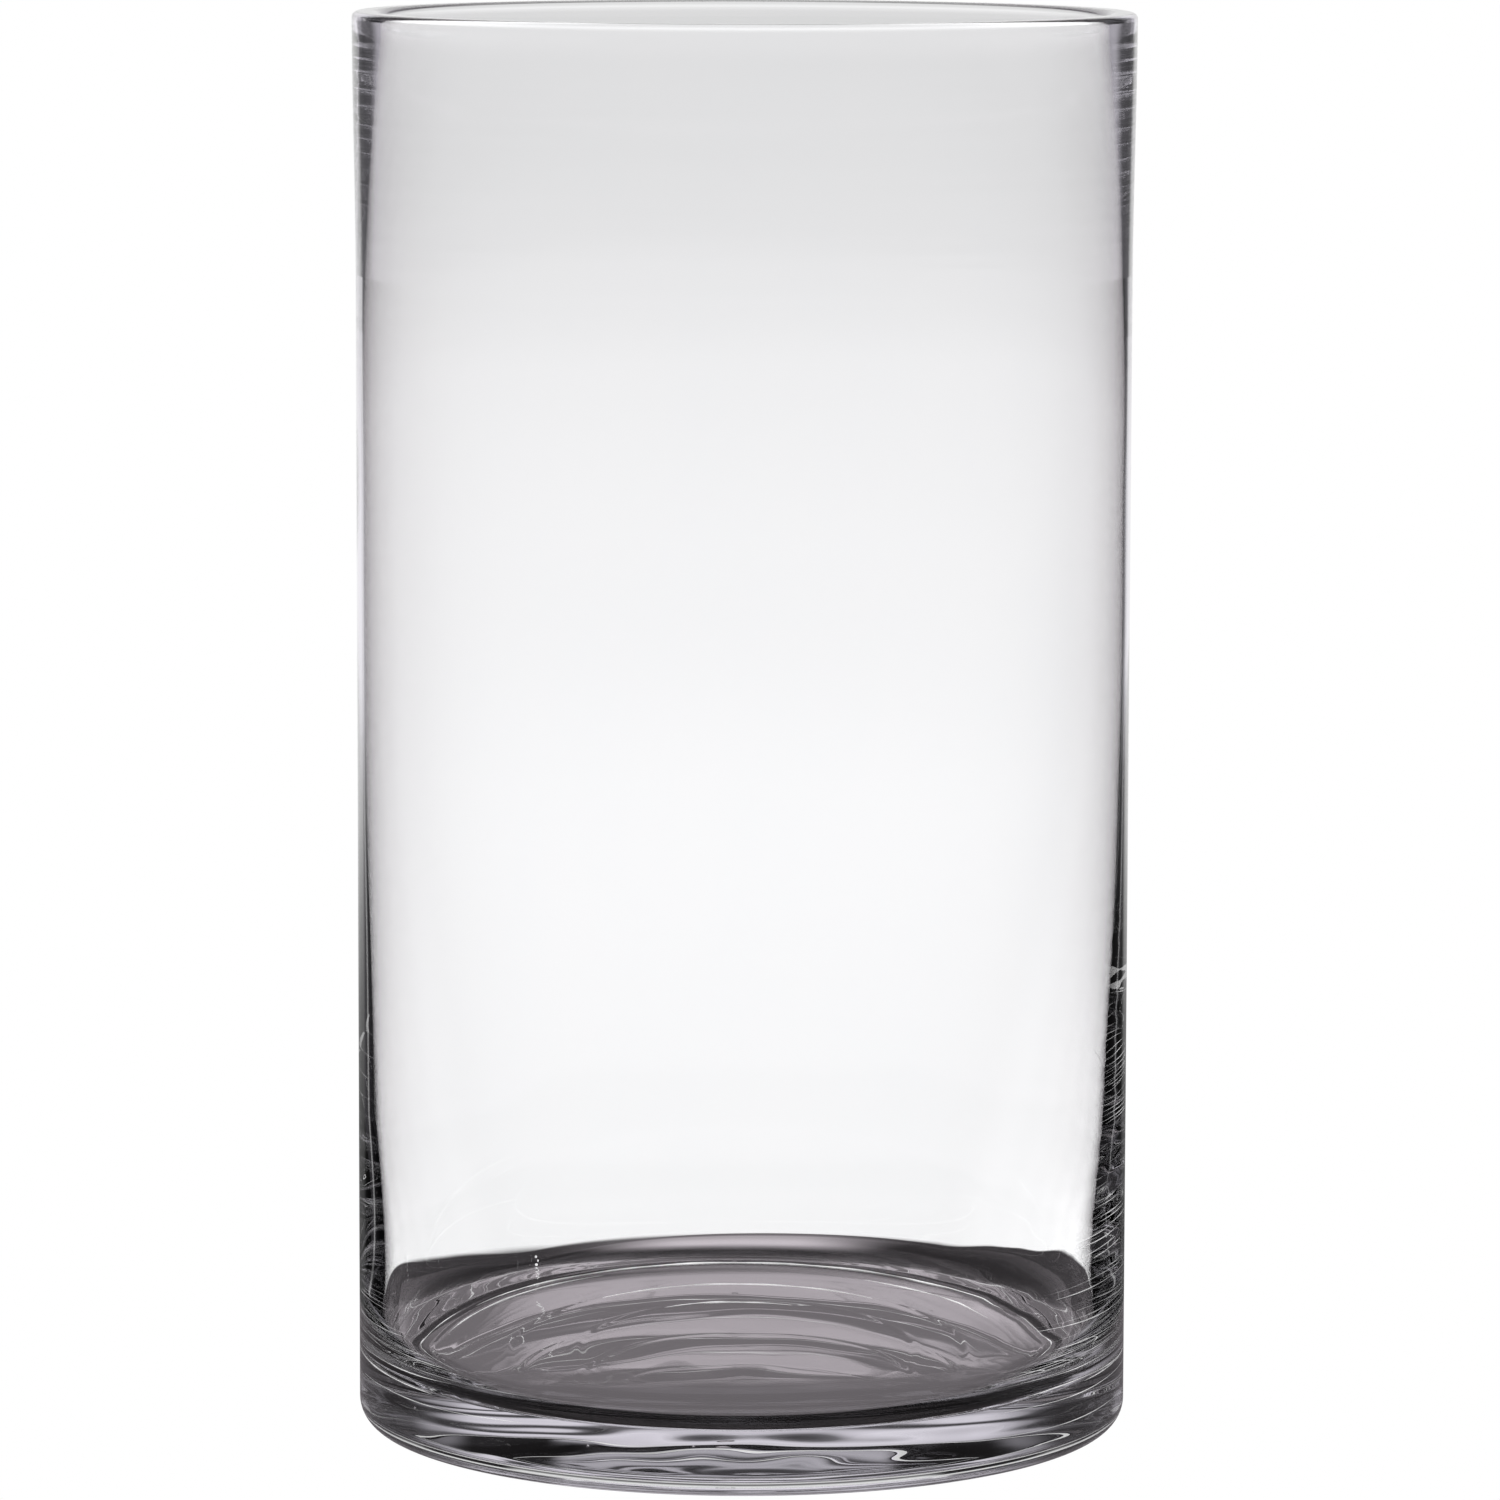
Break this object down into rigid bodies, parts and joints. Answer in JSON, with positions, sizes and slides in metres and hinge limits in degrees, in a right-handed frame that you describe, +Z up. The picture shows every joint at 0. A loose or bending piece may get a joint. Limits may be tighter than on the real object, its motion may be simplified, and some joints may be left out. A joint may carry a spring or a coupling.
{
  "type": "glass cylinder vase",
  "caption": "Tall clear-glass cylinder vase with a thick solid base, a rounded fire-polished rim and a wide open mouth, for cut flowers.",
  "frame": {"origin": "centre of the foot, on the surface that the vase stands on", "axes": "+Z up along the vase's axis, towards the open mouth; the shape is the same all the way round, so X and Y are free"},
  "size_m": [0.192, 0.192, 0.35],
  "materials": {
    "wall_glass": "clear, fire-polished",
    "base_glass": "clear, solid, polished"
  },
  "bodies": {
    "root": {"cylinder_wall": "wall_glass", "solid_base": "base_glass"}
  },
  "joints": []
}
